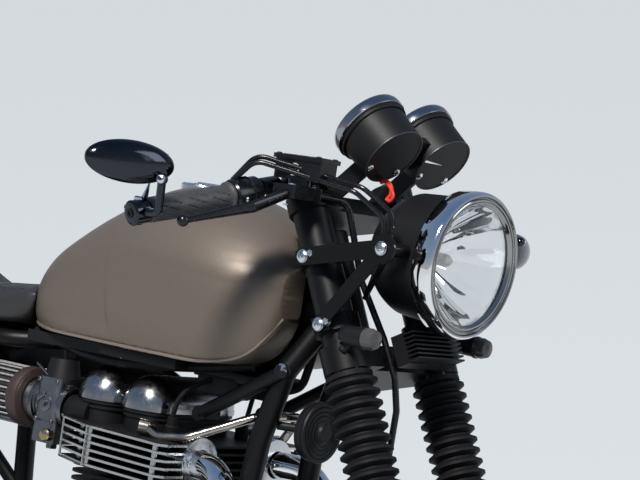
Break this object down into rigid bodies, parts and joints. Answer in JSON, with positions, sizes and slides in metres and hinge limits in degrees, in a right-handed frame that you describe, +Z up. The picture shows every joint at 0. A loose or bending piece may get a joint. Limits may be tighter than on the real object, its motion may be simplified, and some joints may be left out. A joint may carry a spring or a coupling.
{
  "type": "cafe racer motorcycle",
  "caption": "Two-wheeled cafe racer with a sculpted tank, humped single seat, round lamp, low clip-on bars, twin engine and wire wheels, parked on its side stand.",
  "frame": {"origin": "centre of the bounding box on the ground plane", "axes": "+X forwards, +Y to the left of the rider, +Z up; the machine leans to its left on its side stand"},
  "size_m": [2.1237, 0.9206, 1.1392],
  "materials": {
    "tyre": "worn black tread",
    "chrome": "bright plated",
    "stainless": "drawn stainless",
    "steel": "ground steel",
    "alloy": "cast and machined",
    "rubber": "matte moulded",
    "filter_rubber": "reddish moulded rubber",
    "black_gloss": "gloss black",
    "black_satin": "satin black",
    "bronze_paint": "matte bronze brown",
    "leather": "dark stitched hide",
    "glass": "clear",
    "mirror": "bright reflector"
  },
  "bodies": {
    "frame": {"fuel_tank": "bronze_paint", "filler_cap": "chrome", "seat": "leather", "frame_spine": "black_satin", "cradle_rails": "black_satin", "seat_rails": "black_satin", "swingarm": "black_satin", "rear_shocks": "black_satin", "shock_springs": "black_gloss", "crankcase": "black_satin", "engine_covers": "black_satin", "cylinder_barrels": "black_satin", "cylinder_head": "black_satin", "cam_covers": "chrome", "exhaust_pipes": "chrome", "silencers": "black_satin", "carburettors": "alloy", "air_filters": "filter_rubber", "air_pipes": "chrome", "horn": "black_satin", "oil_cooler": "black_satin", "drive_chain": "steel", "rear_caliper": "alloy", "rear_mudguard": "black_satin", "tail_lamp": "black_satin", "number_plate": "alloy", "indicators_rear": "black_satin", "footrests": "alloy", "battery_box": "black_satin"},
    "steering": {"fork_tubes": "chrome", "fork_sliders": "alloy", "fork_gaiters": "rubber", "fork_yokes": "alloy", "headlight_bowl": "black_gloss", "headlight_rim": "chrome", "headlight_lens": "glass", "headlight_reflector": "mirror", "headlight_brackets": "black_satin", "gauge_cans": "black_satin", "gauge_rims": "black_gloss", "handlebars": "black_satin", "grips": "rubber", "bar_controls": "black_satin", "control_cables": "rubber", "bar_end_mirrors": "black_gloss", "indicators_front": "black_satin", "regulator": "black_satin", "front_mudguard": "black_satin", "front_caliper": "alloy"},
    "front_wheel": {"front_tyre": "tyre", "front_rim": "chrome", "front_spokes": "stainless", "front_disc": "steel"},
    "rear_wheel": {"rear_tyre": "tyre", "rear_rim": "chrome", "rear_spokes": "stainless", "rear_disc": "steel", "sprocket": "steel"},
    "side_stand": {"side_stand": "black_satin"}
  },
  "joints": [
    {"name": "steering", "type": "hinge", "parent": "frame", "child": "steering", "pos_m": [0.43641, -0.04306, 0.78135], "axis": [-0.454, 0.2004, 0.8682], "range_deg": [-28, 28]},
    {"name": "front_wheel_spin", "type": "hinge", "parent": "steering", "child": "front_wheel", "pos_m": [0.744, -0.15161, 0.31121], "axis": [0, 0.9744, -0.225], "continuous": true},
    {"name": "rear_wheel_spin", "type": "hinge", "parent": "frame", "child": "rear_wheel", "pos_m": [-0.742, -0.15106, 0.31359], "axis": [0, 0.9744, -0.225], "continuous": true},
    {"name": "side_stand_fold", "type": "hinge", "parent": "frame", "child": "side_stand", "pos_m": [-0.142, -0.04715, 0.15019], "axis": [0, 0.9673, 0.2538], "range_deg": [0, 100]}
  ]
}
